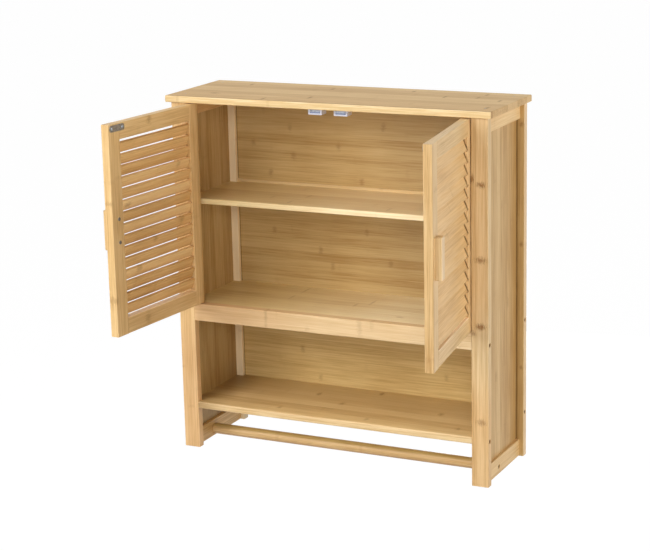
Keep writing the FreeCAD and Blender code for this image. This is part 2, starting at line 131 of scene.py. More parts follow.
def hinge(side):
    return next(joint for joint in frame["joints"] if joint["child"] == side + "_door")


def swing(side):
    """The turn that takes a shut door to where it stands open at rest."""
    joint = hinge(side)
    axis = Vector(joint["axis"])
    pivot = Matrix.Translation(Vector(joint["pos_m"]))
    angle = -math.radians(joint["range_deg"][0])
    return pivot @ Matrix.Rotation(angle, 4, axis) @ pivot.inverted()


def shut_box(node, side):
    """Lowest and highest corner of a door's node with the door shut."""
    back = swing(side).inverted()
    points = [back @ vertex.co for vertex in frame["nodes"][node].data.vertices]
    low = Vector([min(point[axis] for point in points) for axis in range(3)])
    high = Vector([max(point[axis] for point in points) for axis in range(3)])
    return low, high


# Drawing pieces


def nothing_selected():
    bpy.ops.object.select_all(action="DESELECT")


def pick(*pieces):
    """Selects these pieces and no others, with the first one active."""
    nothing_selected()
    for piece in pieces:
        piece.select_set(True)
    bpy.context.view_layer.objects.active = pieces[0]


def settle(piece):
    """Leaves the piece's place in its mesh, with its object at the origin."""
    pick(piece)
    bpy.ops.object.transform_apply(location=True, rotation=True, scale=True)


def block(name, low, high):
    """A block between two corners, ready to be shaped."""
    nothing_selected()
    low, high = Vector(low), Vector(high)
    bpy.ops.mesh.primitive_cube_add(size=1, location=(low + high) / 2)
    piece = bpy.context.object
    piece.name = name
    piece.scale = high - low
    settle(piece)
    return piece


def rod(name, radius, start, end, sides):
    """A round rod between two points."""
    nothing_selected()
    start, end = Vector(start), Vector(end)
    run = end - start
    bpy.ops.mesh.primitive_cylinder_add(
        vertices=sides, radius=radius, depth=run.length, location=(start + end) / 2,
        rotation=run.to_track_quat("Z", "Y").to_euler(),
    )
    piece = bpy.context.object
    piece.name = name
    settle(piece)
    return piece


def choose(piece, kind, test):
    """Opens the piece for editing with the chosen edges or faces selected."""
    pick(piece)
    bpy.ops.object.mode_set(mode="EDIT")
    bpy.ops.mesh.select_mode(type=kind)
    bpy.ops.mesh.select_all(action="DESELECT")
    bpy.ops.object.mode_set(mode="OBJECT")
    mesh = piece.data
    if kind == "EDGE":
        for edge in mesh.edges:
            ends = [mesh.vertices[index].co for index in edge.vertices]
            edge.select = test((ends[1] - ends[0]).normalized(), (ends[0] + ends[1]) / 2)
    else:
        for face in mesh.polygons:
            face.select = test(face.normal, face.center)
    bpy.ops.object.mode_set(mode="EDIT")


def choose_all(piece):
    choose(piece, "FACE", lambda normal, centre: True)
    bpy.ops.mesh.select_all(action="SELECT")


def close_edit():
    bpy.ops.object.mode_set(mode="OBJECT")


def runs_along(way, axis):
    return abs(way.dot(axis)) > 0.99


def crosses(way, axis):
    return abs(way.dot(axis)) < 0.01


def along(axis):
    """A test that picks the edges that run along an axis."""
    return lambda way, middle: runs_along(way, axis)


def rounded(piece, radius, test, steps=ROUND_STEPS):
    """Rounds the edges that pass a test on their direction and middle."""
    choose(piece, "EDGE", test)
    bpy.ops.mesh.bevel(offset=radius, segments=steps, affect="EDGES", clamp_overlap=False)
    close_edit()


def split(piece, place, normal):
    """Cuts the faces of the piece along a plane."""
    choose_all(piece)
    bpy.ops.mesh.bisect(plane_co=place, plane_no=normal)
    close_edit()


def drawn_out(piece, test, move):
    """Draws the chosen faces out by a move."""
    choose(piece, "FACE", test)
    bpy.ops.mesh.extrude_region_move(TRANSFORM_OT_translate={"value": move})
    close_edit()


def joined(pieces, name):
    pick(*pieces)
    bpy.ops.object.join()
    pieces[0].name = name
    return pieces[0]


def copied(piece, move):
    """A copy with its own mesh, shifted by a move."""
    twin = piece.copy()
    twin.data = piece.data.copy()
    bpy.context.scene.collection.objects.link(twin)
    twin.data.transform(Matrix.Translation(move))
    return twin


def moved(piece, matrix):
    piece.matrix_world = matrix @ piece.matrix_world
    settle(piece)
    return piece


def carved(piece, cutter):
    """Takes the cutter's shape out of the piece."""
    modifier = piece.modifiers.new("carve", "BOOLEAN")
    modifier.operation = "DIFFERENCE"
    modifier.solver = "EXACT"
    modifier.object = cutter
    pick(piece)
    bpy.ops.object.modifier_apply(modifier=modifier.name)
    bpy.data.objects.remove(cutter)


def smooth(piece):
    """Smooth round stretches beside faces that stay flat."""
    pick(piece)
    bpy.ops.object.shade_smooth_by_angle(angle=SMOOTH_ANGLE)
    modifier = piece.modifiers.new("even", "WEIGHTED_NORMAL")
    modifier.keep_sharp = True
    bpy.ops.object.modifier_apply(modifier=modifier.name)


def placed(piece, body, material, nodes=()):
    """Hands a finished piece to its body, with its finish, in place of its nodes."""
    choose_all(piece)
    bpy.ops.mesh.normals_make_consistent(inside=False)
    close_edit()
    smooth(piece)
    piece.data.materials.clear()
    piece.data.materials.append(material)
    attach(piece, body)
    if nodes:
        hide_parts(*nodes)


# Materials


def paint(code):
    """A written colour as the shader's linear numbers."""
    parts = [int(code[start:start + 2], 16) / 255 for start in (0, 2, 4)]
    linear = [part / 12.92 if part <= 0.04045 else ((part + 0.055) / 1.055) ** 2.4 for part in parts]
    return (*linear, 1)


def toned(code, shade, tint=(1.0, 1.0, 1.0)):
    """A written colour made lighter or darker and shifted in hue."""
    return tuple(part * shade * share for part, share in zip(paint(code), tint)) + (1,)


class Finish:
    """A node material with short ways to add its nodes."""

    def __init__(self, name):
        self.material = bpy.data.materials.new(name)
        self.material.use_nodes = True
        self.nodes = self.material.node_tree.nodes
        self.links = self.material.node_tree.links
        self.shader = self.nodes["Principled BSDF"]

    def add(self, kind, inputs=(), **settings):
        node = self.nodes.new(kind)
        for name, value in settings.items():
            setattr(node, name, value)
        for key, value in dict(inputs).items():
            self.feed(node.inputs[key], value)
        return node

    def feed(self, socket, value):
        if isinstance(value, bpy.types.NodeSocket):
            self.links.new(value, socket)
        else:
            socket.default_value = value

    def math(self, operation, first, second=0.0, third=0.0):
        node = self.add("ShaderNodeMath", {0: first, 1: second, 2: third}, operation=operation)
        return node.outputs[0]

    def times(self, first, second):
        return self.math("MULTIPLY", first, second)

    def scaled(self, value, factor, start):
        """The value times a factor, added to a start."""
        return self.math("MULTIPLY_ADD", value, factor, start)

    def fade(self, value, start, end, low=0.0, high=1.0):
        """Goes smoothly from low at start to high at end."""
        node = self.add(
            "ShaderNodeMapRange", {"Value": value, "From Min": start, "From Max": end, "To Min": low, "To Max": high},
            interpolation_type="SMOOTHSTEP",
        )
        return node.outputs["Result"]

    def noise(self, vector, scale, detail=2.0, roughness=0.5):
        node = self.add(
            "ShaderNodeTexNoise", {"Vector": vector, "Scale": scale, "Detail": detail, "Roughness": roughness},
        )
        return node.outputs["Fac"]

    def chance(self, first, second, salt):
        """Three random values for a pair of whole numbers."""
        vector = self.add("ShaderNodeCombineXYZ", {0: first, 1: second, 2: salt}).outputs[0]
        node = self.add("ShaderNodeTexWhiteNoise", {"Vector": vector}, noise_dimensions="3D")
        return self.add("ShaderNodeSeparateColor", {0: node.outputs["Color"]}).outputs

    def blend(self, share, first, second, mode="MIX"):
        node = self.add("ShaderNodeMix", data_type="RGBA", blend_type=mode)
        self.feed(node.inputs["Factor"], share)
        self.feed(node.inputs[6], first)
        self.feed(node.inputs[7], second)
        return node.outputs[2]

    def coordinates(self, grain, across):
        """Object coordinates in millimetres with X along the grain and Y across it."""
        rows = Matrix((grain, across, grain.cross(across)))
        turn = rows.to_euler("XYZ")
        source = self.add("ShaderNodeTexCoord").outputs["Object"]
        mapping = self.add("ShaderNodeMapping", {"Vector": source}, vector_type="POINT")
        mapping.inputs["Rotation"].default_value = turn
        mapping.inputs["Scale"].default_value = (1 / MM,) * 3
        return mapping.outputs[0]

    def covered(self, colour, roughness, height, strength, depth):
        """Feeds the shader its colour, its roughness and a relief, whose depth is in millimetres."""
        relief = self.add("ShaderNodeBump", {"Strength": strength, "Distance": depth * MM, "Height": height})
        for key, value in (("Base Color", colour), ("Roughness", roughness), ("Normal", relief.outputs[0])):
            self.feed(self.shader.inputs[key], value)
        return self.material


# Colours of the bamboo, from its palest to its darkest
BAMBOO_PALE = "EDCFA1"
BAMBOO_WARM = "DDBA88"
BAMBOO_DEEP = "BF9660"
BAMBOO_SEAM = "A88150"
BAMBOO_KNUCKLE = "8A5826"

# How the bamboo is made up, in mm: how far its strips and their knuckles are slid along the grain by chance,
# half a glue line's width, and how far a knuckle's line wanders
STRIP_SLIDE = 900.0
KNUCKLE_SLIDE = 1700.0
SEAM_HALF = 0.35
KNUCKLE_WANDER = 5.0

# How dark steel tarnishes and plastic mottles, as a share of its colour
TARNISH = 0.62
MOTTLE = 0.86


def bamboo(
    name, grain, across, strip, salt, shift=0.0, tone=0.0, variety=0.5, seams=0.6,
    knuckles=0.5, knuckle_gap=210.0, fibre=0.6, gloss=0.42, banding=0.5, shade=1.0, tint=(1.0, 1.0, 1.0),
    sheen=0.28, edges=(), spots=(),
):
    """Bamboo strips glued side by side: fibres, strips of their own tone, knuckles and glue lines. Lengths in mm.

    The salt sets the chances that a material draws. An edge is painted shade or painted light along one coordinate:
    the coordinate, where it starts, where it is full, and the factor that it multiplies the colour by. A spot is a
    single knuckle: its place along and across the grain, its half length and half width, and its strength.
    """
    finish = Finish(name)
    place = finish.coordinates(Vector(grain), Vector(across))
    parts = finish.add("ShaderNodeSeparateXYZ", {0: place}).outputs
    length, width, depth = parts[0], parts[1], parts[2]

    # Strips
    lane = finish.math("DIVIDE", finish.math("ADD", width, shift), strip)
    number = finish.math("FLOOR", lane)
    within = finish.math("FRACT", lane)
    own = finish.chance(number, salt, salt * 3.7)
    to_edge = finish.times(finish.math("MINIMUM", within, finish.math("SUBTRACT", 1.0, within)), strip)
    seam_here = finish.fade(to_edge, 0.0, SEAM_HALF, 1.0, 0.0)

    # Fibres, drawn out along the grain and shifted from strip to strip
    slid = finish.scaled(own[0], STRIP_SLIDE, length)

    def fibres(stretch, breadth, detail, roughness):
        vector = finish.add("ShaderNodeCombineXYZ", {
            0: finish.times(slid, stretch), 1: finish.times(width, breadth),
            2: finish.times(depth, breadth),
        }).outputs[0]
        return finish.noise(vector, 1.0, detail, roughness)

    hair = fibres(0.02, 1.0, 4.0, 0.62)
    streak = fibres(0.011, 0.45, 2.0, 0.55)
    band = fibres(0.006, 0.13, 2.0, 0.5)
    cloud = finish.noise(place, 0.011, 1.0, 0.5)

    # Knuckles: each strip has its own, some strong and some faint, with dark fibres running out of them
    steps = finish.math("DIVIDE", finish.scaled(own[1], KNUCKLE_SLIDE, length), knuckle_gap)
    cell = finish.math("FLOOR", steps)
    luck = finish.chance(number, cell, salt + 11.0)
    centre = finish.scaled(luck[0], 0.5, 0.25)
    offset = finish.times(finish.math("SUBTRACT", finish.math("FRACT", steps), centre), knuckle_gap)
    uneven = finish.noise(place, 0.16, 3.0, 0.6)
    wobble = finish.scaled(uneven, KNUCKLE_WANDER, -KNUCKLE_WANDER / 2)
    offset = finish.math("ADD", offset, wobble)
    away = finish.math("ABSOLUTE", offset)
    line = finish.fade(away, 0.3, 1.7, 0.5, 0.0)
    reach = finish.scaled(luck[2], 4.0, 3.2)
    smudge = finish.fade(finish.math("DIVIDE", away, reach), 0.2, 1.0, 1.0, 0.0)
    smudge = finish.times(smudge, finish.fade(to_edge, 0.2, strip * 0.22, 0.15, 1.0))
    smudge = finish.times(smudge, finish.fade(finish.noise(place, 0.3, 3.0, 0.65), 0.3, 0.62, 0.35, 1.0))
    strength = finish.times(finish.math("POWER", luck[1], 1.6), knuckles)
    mark = finish.math("MAXIMUM", line, finish.times(smudge, 0.95))
    patch = finish.fade(finish.noise(place, 0.12, 2.0), 0.3, 0.55, 0.45, 1.0)
    mark = finish.times(finish.times(mark, strength), patch)
    ragged = finish.scaled(fibres(0.14, 0.8, 4.0, 0.75), 4.0, -2.0) if spots else 0.0
    for spot_along, spot_across, half_length, half_width, spot_strength in spots:
        away = finish.add("ShaderNodeCombineXYZ", {
            0: finish.scaled(length, 1 / half_length, -spot_along / half_length),
            1: finish.scaled(width, 1 / half_width, -spot_across / half_width),
        }).outputs[0]
        away = finish.add("ShaderNodeVectorMath", {0: away}, operation="LENGTH").outputs["Value"]
        spot = finish.fade(finish.math("ADD", away, ragged), 0.1, 1.3, spot_strength, 0.0)
        mark = finish.math("MAXIMUM", mark, spot)

    # Tone
    level = 0.5 + tone
    weights = ((own[2], variety), (hair, fibre * 1.3), (streak, fibre * 1.5), (band, banding), (cloud, 0.35))
    for source, weight in weights:
        level = finish.scaled(finish.math("SUBTRACT", source, 0.5), weight, level)
    ramp = finish.add("ShaderNodeValToRGB", {0: level})
    stops = ramp.color_ramp.elements
    stops[0].position, stops[0].color = 0.05, toned(BAMBOO_DEEP, shade, tint)
    stops[1].position, stops[1].color = 0.95, toned(BAMBOO_PALE, shade, tint)
    stops.new(0.5).color = toned(BAMBOO_WARM, shade, tint)
    colour = ramp.outputs["Color"]
    pores = finish.fade(hair, 0.56, 0.7)
    colour = finish.blend(finish.times(pores, fibre * 0.35), colour, toned(BAMBOO_SEAM, shade, tint))
    seam_strength = finish.times(seam_here, finish.times(own[1], seams))
    colour = finish.blend(seam_strength, colour, toned(BAMBOO_SEAM, shade, tint))
    colour = finish.blend(mark, colour, toned(BAMBOO_KNUCKLE, shade, tint))
    # Painted shade and painted light along edges, multiplied into the colour
    for coordinate, start, end, painted_light_factor in edges:
        share = finish.fade((length, width, depth)[coordinate], end, start, 1.0, 0.0)
        colour = finish.blend(share, colour, finish.blend(1.0, colour, (*painted_light_factor, 1), "MULTIPLY"))

    # Lacquer over the fibres
    finish.shader.inputs["Specular IOR Level"].default_value = sheen
    dull = finish.scaled(hair, 0.16, gloss - 0.08)
    height = finish.scaled(seam_here, -0.5, finish.scaled(mark, 0.8, hair))
    return finish.covered(colour, finish.scaled(mark, 0.1, dull), height, 0.16, 0.3)


def steel(name, colour, roughness, grain):
    """Plated steel with fine rolling marks and a little tarnish."""
    finish = Finish(name)
    place = finish.coordinates(Vector(grain), Vector(grain).orthogonal().normalized())
    parts = finish.add("ShaderNodeSeparateXYZ", {0: place}).outputs
    drawn = finish.add("ShaderNodeCombineXYZ", {
        0: finish.times(parts[0], 0.15), 1: finish.times(parts[1], 6.0),
        2: finish.times(parts[2], 6.0),
    }).outputs[0]
    lines = finish.noise(drawn, 1.0, 3.0, 0.6)
    stain = finish.noise(place, 0.25, 2.0, 0.6)
    dark = toned(colour, TARNISH)
    tint = finish.blend(finish.fade(stain, 0.35, 0.75), paint(colour), dark)
    tint = finish.blend(finish.fade(lines, 0.5, 0.8, 0.0, 0.4), tint, dark)
    finish.shader.inputs["Metallic"].default_value = 1.0
    worn = finish.scaled(lines, 0.22, roughness - 0.1)
    return finish.covered(tint, finish.scaled(stain, 0.12, worn), lines, 0.12, 0.1)


def moulded(name, colour, roughness):
    """Moulded plastic, very slightly uneven."""
    finish = Finish(name)
    place = finish.coordinates(X, Y)
    cloud = finish.noise(place, 0.12, 2.0, 0.5)
    grain = finish.noise(place, 2.4, 3.0, 0.6)
    mottled = finish.blend(finish.fade(cloud, 0.3, 0.7), paint(colour), toned(colour, MOTTLE))
    return finish.covered(mottled, finish.scaled(grain, 0.15, roughness - 0.07), grain, 0.08, 0.1)


# The coordinates that an edge can lie on
ALONG, ACROSS, THROUGH = 0, 1, 2


def faded(coordinate, place, way, fade, shade):
    """A painted shade or painted light along an edge at a place: the fade is how far off it, on one side, it starts
    and is full.
    """
    return coordinate, place + way * fade[0], place + way * fade[1], shade


# Painted shadow lines where the panels go into the stiles
PANEL_GROOVE_SHADOW = faded(ACROSS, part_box("right_side_panel")[1].x / MM, 1, (2.4, 1.2), (0.6, 0.55, 0.45))
BACK_GROOVE_SHADOW = faded(ALONG, -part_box("right_rear_stile")[0].x / MM, 1, (2.6, 1.2), (0.5, 0.44, 0.36))

# Knuckles that stand out on one face, as spots
TOP_KNUCKLES = [
    (-220.8, -34.9, 3.0, 11.0, 0.65), (-235.7, -148.7, 10.0, 5.0, 0.65), (-122.1, -180.9, 3.0, 12.0, 0.65),
    (-52.3, -42.0, 3.0, 11.0, 0.65), (-47.6, -145.8, 3.0, 12.0, 0.65), (99.5, -27.0, 3.0, 10.0, 0.65),
    (176.3, -70.4, 3.0, 12.0, 0.65), (237.6, -27.4, 3.5, 10.0, 0.65), (234.2, -62.4, 3.0, 10.0, 0.65),
    (288.8, -161.9, 3.5, 12.0, 0.65), (282.9, -84.3, 3.0, 10.0, 0.65),
]
BACK_KNUCKLES = [
    (-159.1, -20.5, 5.0, 8.0, 0.3), (30.6, -10.5, 5.0, 8.0, 0.3), (-235.8, -52.8, 5.0, 8.0, 0.3),
    (-60.1, -52.3, 5.0, 8.0, 0.3), (-152.8, -73.5, 5.0, 8.0, 0.3), (-200.8, -107.7, 5.0, 8.0, 0.35),
    (-14.0, -114.5, 5.0, 8.0, 0.35), (-196.6, -217.4, 5.0, 8.0, 0.3), (-5.8, -207.5, 5.0, 8.0, 0.3),
    (-100.7, -250.2, 5.0, 8.0, 0.35), (-76.6, -278.8, 5.0, 8.0, 0.3), (41.5, -264.9, 5.0, 8.0, 0.3),
]
LOW_BACK_KNUCKLES = [
    (-143.6, -444.9, 5.0, 8.0, 0.35), (-107.0, -498.3, 5.0, 8.0, 0.3), (150.0, -470.0, 5.0, 8.0, 0.3),
]
LOW_SHELF_KNUCKLES = [
    (-82.4, -66.8, 5.0, 9.0, 0.5), (-17.7, -103.6, 6.0, 9.0, 0.4), (26.8, -23.6, 5.0, 9.0, 0.6),
    (-115.6, -165.4, 5.0, 8.0, 0.4), (174.8, -95.4, 6.0, 8.0, 0.45), (61.1, -170.1, 5.0, 8.0, 0.35),
    (232.8, -159.3, 5.0, 8.0, 0.4),
]
MIDDLE_BOARD_KNUCKLES = [
    (32.5, -71.6, 2.5, 20.0, 0.35), (10.3, -97.3, 2.5, 12.0, 0.35), (-120.5, -34.9, 2.5, 22.0, 0.35),
    (-123.6, -87.1, 2.5, 16.0, 0.3), (118.6, -146.6, 9.0, 6.0, 0.3),
]
RIGHT_STILE_KNUCKLES = [
    (-65.6, 289.5, 5.5, 9.0, 0.8), (-56.0, 273.5, 9.0, 4.0, 0.75), (-194.8, 288.5, 6.5, 10.0, 0.75),
    (-311.3, 288.0, 6.0, 10.5, 0.85), (-325.0, 274.5, 6.0, 5.0, 0.7), (-482.5, 289.0, 6.0, 9.0, 0.5),
]
REAR_STILE_KNUCKLES = [
    (10.0, 297.0, 5.0, 4.0, 0.5), (-205.0, 297.0, 5.0, 4.0, 0.5), (-432.0, 297.0, 5.0, 4.0, 0.4),
]
PANEL_KNUCKLES = [
    (-300.0, -60.0, 14.0, 5.0, 0.3), (-420.0, -120.0, 12.0, 5.0, 0.3), (-120.0, -90.0, 12.0, 5.0, 0.25),
]
APRON_KNUCKLES = [(-124.7, -332.0, 3.5, 30.0, 0.27), (61.1, -334.5, 6.0, 22.0, 0.2)]

# Painted shade darkens the upper shelf towards its left end, and painted light makes its front edge paler
SHELF = bamboo(
    "bamboo_shelf", X, Y, 27.0, salt=2.0, variety=0.4, seams=0.4, tone=0.15, banding=0.3, shade=1.3,
    tint=(0.89, 1.0, 1.08), knuckles=0.35,
    edges=[(ALONG, 60.0, -240.0, (0.81, 0.77, 0.63)), (ACROSS, -173.8, -174.8, (1.08, 1.1, 1.18))],
)
# Painted shade darkens the middle board towards its left end, and painted light brightens it towards its right end
MIDDLE_BOARD = bamboo(
    "bamboo_middle_board", X, Y, 27.0, salt=31.0, variety=0.35, seams=0.4, tone=0.15, banding=0.3, shade=1.3,
    tint=(0.87, 1.0, 1.12), knuckles=0.1, spots=MIDDLE_BOARD_KNUCKLES,
    edges=[(ALONG, 80.0, -220.0, (0.83, 0.77, 0.6)), (ALONG, 0.0, 110.0, (1.04, 1.09, 1.16))],
)
# Painted shade darkens the bottom shelf towards the back and at its left end, and painted light makes its front edge
# paler
LOW_SHELF = bamboo(
    "bamboo_low_shelf", X, Y, 27.0, salt=33.0, variety=0.4, seams=0.4, tone=0.05, banding=0.3, shade=1.02,
    tint=(0.99, 1.0, 0.88), knuckles=0.1, spots=LOW_SHELF_KNUCKLES,
    edges=[
        (ACROSS, -155.0, -20.0, (0.7, 0.66, 0.58)), (ALONG, -205.0, -275.0, (0.62, 0.58, 0.52)),
        (ACROSS, -188.0, -191.0, (1.08, 1.12, 1.3)),
    ],
)
# The top's front edge is painted much paler: partly the strips' paler edges, partly painted light
TOP = bamboo(
    "bamboo_top", X, Y, 24.0, salt=5.0, variety=1.1, seams=0.9, shade=0.88, tint=(1.08, 1.0, 0.78),
    knuckles=0.25, gloss=0.5, fibre=0.8, sheen=0.38,
    edges=[(ACROSS, -197.5, -199.5, (1.5, 1.95, 3.05)), (ALONG, 308.9, 309.7, (0.9, 0.89, 0.94))],
    spots=TOP_KNUCKLES,
)
# Painted shade darkens the apron towards its left end
APRON = bamboo(
    "bamboo_apron", X, Z, 40.0, shift=20.0, salt=8.0, variety=0.2, seams=0.2, tone=0.25, knuckles=0.2, shade=0.95,
    edges=[(ALONG, 0.0, -240.0, (0.95, 0.84, 0.75))], spots=APRON_KNUCKLES,
)
BACK_BAMBOO = {
    "grain": X, "across": Z, "strip": 17.0, "variety": 0.35, "seams": 0.45, "fibre": 0.62, "banding": 0.22,
    "knuckles": 0.1,
}
# Painted shade darkens the upper and middle back panels towards the right, with a painted shadow line at the left
# rear stile
BACK = bamboo(
    "bamboo_back", salt=3.0, tone=-0.05, shade=0.83, tint=(0.99, 1.0, 0.84), spots=BACK_KNUCKLES,
    edges=[(ALONG, -60.0, 110.0, (0.85, 0.85, 0.88)), BACK_GROOVE_SHADOW], **BACK_BAMBOO,
)
# The lower back panel is painted lighter than the others: painted light. It has the same painted shadow line at the
# left rear stile
LOW_BACK = bamboo(
    "bamboo_low_back", salt=35.0, shade=1.02, tint=(0.95, 1.0, 0.84), spots=LOW_BACK_KNUCKLES, edges=[BACK_GROOVE_SHADOW],
    **BACK_BAMBOO,
)
PANEL_BAMBOO = {
    "grain": Z, "across": Y, "strip": 16.5, "variety": 0.7, "seams": 0.7, "fibre": 0.9, "banding": 0.4,
}
# Painted shade darkens the left side panel in two steps towards its foot
LEFT_PANEL = bamboo(
    "bamboo_left_panel", salt=4.0, tone=-0.17, shade=0.84, tint=(0.97, 1.0, 0.9), knuckles=0.2,
    edges=[(ALONG, -320.0, -400.0, (0.87, 0.84, 0.8)), (ALONG, -460.0, -530.0, (0.86, 0.81, 0.68))], **PANEL_BAMBOO,
)
# A painted shadow line runs along the right side panel's rear end, where it goes into the rear stile
RIGHT_PANEL = bamboo(
    "bamboo_right_panel", salt=37.0, tone=-0.15, shade=0.82, tint=(1.06, 1.0, 0.84), knuckles=0.12,
    spots=PANEL_KNUCKLES, edges=[(ACROSS, -19.6, -18.4, (0.38, 0.34, 0.26))], **PANEL_BAMBOO,
)
# Painted shade darkens the left front stile towards its foot
STILE = bamboo(
    "bamboo_stile", Z, X, 15.5, salt=6.0, variety=0.3, seams=0.5, tone=0.12, knuckle_gap=150.0, banding=0.3,
    fibre=0.8, knuckles=0.35, shade=0.95, tint=(1.06, 1.0, 0.88),
    edges=[(ALONG, -330.0, -420.0, (0.94, 0.88, 0.87))],
)
# Painted shade darkens the right front stile towards its foot
RIGHT_STILE = bamboo(
    "bamboo_right_stile", Z, X, 15.5, shift=14.0, salt=6.0, variety=0.35, seams=0.9, tone=0.1, banding=0.35,
    fibre=0.95, knuckles=0.0, shade=0.96, tint=(0.99, 1.0, 0.98), spots=RIGHT_STILE_KNUCKLES,
    edges=[(ALONG, -360.0, -480.0, (0.97, 0.87, 0.76))],
)
# Painted shade darkens the right rear stile's front face, and a painted shadow line runs beside the side panel
RIGHT_REAR_STILE = bamboo(
    "bamboo_right_rear_stile", Z, X, 15.5, salt=6.0, variety=0.3, seams=0.4, tone=0.12, banding=0.3, fibre=0.8,
    knuckles=0.2, shade=0.97, tint=(1.04, 1.0, 0.97), spots=REAR_STILE_KNUCKLES,
    edges=[(THROUGH, -13.8, -14.6, (0.74, 0.7, 0.52)), PANEL_GROOVE_SHADOW],
)
# The left rear stile is painted paler than the other stiles: painted light, most on its front; painted shade takes it
# darker again towards the wall and at its foot
PAINTED_LIGHT_STILE = bamboo(
    "bamboo_painted_light_stile", Z, X, 15.5, salt=16.0, variety=0.15, seams=0.2, tone=0.5, knuckles=0.2, banding=0.15,
    shade=1.3, tint=(0.9, 1.0, 1.15),
    edges=[(THROUGH, -6.0, -2.0, (0.8, 0.74, 0.62)), (ALONG, -490.0, -535.0, (0.84, 0.82, 0.78))],
)
RAIL_BAMBOO = {
    "grain": Y, "across": Z, "strip": 29.0, "shift": 14.0, "salt": 7.0, "variety": 0.3, "seams": 0.2, "tone": 0.05,
    "banding": 0.3, "fibre": 0.8, "knuckles": 0.25, "tint": (1.04, 1.0, 0.88),
}
SIDE_RAIL = bamboo("bamboo_side_rail", **RAIL_BAMBOO)
# Painted shade darkens the left bottom side rail towards the front
LEFT_LOW_RAIL = bamboo("bamboo_left_low_rail", edges=[(ALONG, -90.0, -150.0, (0.78, 0.72, 0.6))], **RAIL_BAMBOO)
BACK_RAIL = bamboo(
    "bamboo_back_rail", X, Z, 30.0, salt=9.0, variety=0.2, seams=0.2, tone=0.15, banding=0.3, knuckles=0.3,
    tint=(0.96, 1.0, 0.95),
)
CLEAT = bamboo("bamboo_cleat", Y, X, 20.0, salt=10.0, variety=0.2, seams=0.1)
# Painted shade darkens the towel bar along its top and its underside
BAR = bamboo(
    "bamboo_bar", X, Z, 60.0, shift=30.0, salt=12.0, variety=0.1, seams=0.0, tone=-0.1, gloss=0.36, banding=0.3,
    knuckles=0.3, shade=0.93, tint=(1.02, 1.0, 0.92),
    edges=[(ACROSS, -582.5, -577.5, (0.74, 0.77, 0.62)), (ACROSS, -587.0, -594.5, (0.72, 0.6, 0.48))],
)
STEEL = steel("plated_steel", "9A958B", 0.46, X)
PALE_STEEL = steel("bright_plate", "7E88A8", 0.4, X)
SCREW_STEEL = steel("screw_steel", "BCCAD8", 0.24, Z)
DARK_STEEL = steel("dark_screw_steel", "7A5630", 0.5, Z)
GREY_STEEL = steel("grey_screw_steel", "8F8C88", 0.36, Z)
MAGNET = steel("plated_magnet", "A9AEB8", 0.4, X)
WHITE_PLASTIC = moulded("white_plastic", "E6EAF8", 0.34)


# Fixed boards


def front_edges(face):
    """A test that picks the edges along the front of a board."""
    return lambda way, middle: runs_along(way, X) and middle.y < face + FRONT_REACH


def notched(name, low, high, narrow, wide_from, wide_to):
    """A shelf that is narrow between the stiles and reaches out to the side panels between them."""
    shelf = block(name, (-narrow, low.y, low.z), (narrow, high.y, high.z))
    for place in (wide_from, wide_to):
        if low.y + HAIR < place < high.y - HAIR:
            split(shelf, (0, place, 0), (0, 1, 0))
    for side in (-1, 1):
        drawn_out(
            shelf,
            lambda normal, centre: normal.x * side > 0.9 and wide_from < centre.y < wide_to,
            (side * (high.x - narrow), 0, 0),
        )
    return shelf


def boards():
    front_stile_low, front_stile_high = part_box("right_front_stile")
    rear_stile_low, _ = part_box("right_rear_stile")
    inner = front_stile_low.x

    low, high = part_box("top_board")
    board = block("top_board_shaped", low, high)
    rounded(board, BOARD_ROUND, lambda way, middle: middle.y < high.y - HAIR)
    places = [Vector((x, y, high.z)) for x in (-TOP_SCREW_X, TOP_SCREW_X) for y in TOP_SCREW_ROWS]
    for place in places:
        seated(board, place, Z, TOP_SCREW[0] + FIT, TOP_SEAT_DEPTH, TOP_SEAT_SIDES)
    placed(board, "cabinet", TOP, ["top_board"])

    heads = screw_group("top_screw_heads", [(place - Z * TOP_SEAT_DEPTH, Z) for place in places], *TOP_SCREW)
    placed(heads, "cabinet", SCREW_STEEL)

    low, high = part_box("upper_shelf")
    shelf = notched("upper_shelf_shaped", low, high, inner, low.y - HAIR, rear_stile_low.y)
    rounded(shelf, BOARD_ROUND, front_edges(low.y))
    placed(shelf, "cabinet", SHELF, ["upper_shelf"])

    low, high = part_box("bottom_shelf")
    shelf = notched("bottom_shelf_shaped", low, high, inner, front_stile_high.y, rear_stile_low.y)
    rounded(shelf, NOSE_ROUND, front_edges(low.y), NOSE_STEPS)
    placed(shelf, "cabinet", LOW_SHELF, ["bottom_shelf"])

    low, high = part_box("apron")
    apron = block("apron_shaped", low, high)
    rounded(
        apron, FRAME_ROUND,
        lambda way, middle: runs_along(way, X) and (middle.y < low.y + HAIR or middle.z < low.z + HAIR),
    )
    placed(apron, "cabinet", APRON, ["apron"])


def solids_of(node):
    """The points of each separate solid of a node."""
    mesh = frame["nodes"][node].data
    owner = {}

    def chief(point):
        while owner.get(point, point) != point:
            point = owner[point]
        return point

    keys = [tuple(round(value / WELD) for value in vertex.co) for vertex in mesh.vertices]
    for polygon in mesh.polygons:
        corners = [keys[index] for index in polygon.vertices]
        for corner in corners[1:]:
            owner[chief(corner)] = chief(corners[0])
    groups = {}
    for key, vertex in zip(keys, mesh.vertices):
        groups.setdefault(chief(key), []).append(vertex.co)
    return list(groups.values())


